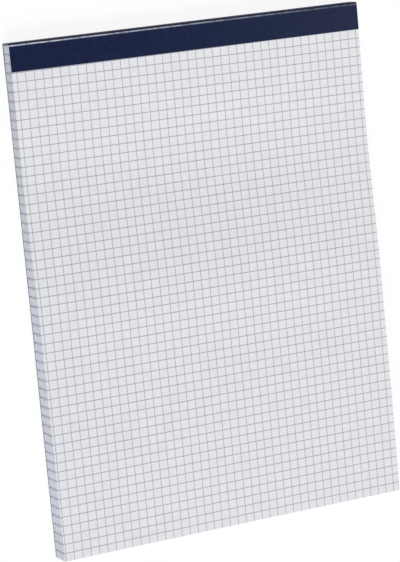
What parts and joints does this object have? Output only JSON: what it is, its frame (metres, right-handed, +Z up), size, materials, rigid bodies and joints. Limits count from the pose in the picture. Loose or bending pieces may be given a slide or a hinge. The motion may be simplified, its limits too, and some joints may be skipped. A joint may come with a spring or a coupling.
{
  "type": "writing pad",
  "caption": "Head-bound writing pad of square-ruled white sheets on a chipboard back, with a dark blue binding tape folded over the head and wire stitches under it.",
  "frame": {"origin": "on the table under the middle of the pad, at the bottom centre of its bounding box", "axes": "+X across the sheet to the reader's right, +Y towards the bound head, +Z up out of the top sheet"},
  "size_m": [0.21, 0.2802, 0.0122],
  "materials": {
    "ruled_paper": "uncoated white writing paper with a grey square ruling",
    "chipboard": "uncoated grey chipboard",
    "binding_strip": "navy coated binding tape, soft satin",
    "stitch_wire": "galvanised stitching wire"
  },
  "bodies": {
    "root": {"sheet_block": "ruled_paper", "backing_board": "chipboard", "binding_tape": "binding_strip", "stitch_left": "stitch_wire", "stitch_centre": "stitch_wire", "stitch_right": "stitch_wire"}
  },
  "joints": []
}
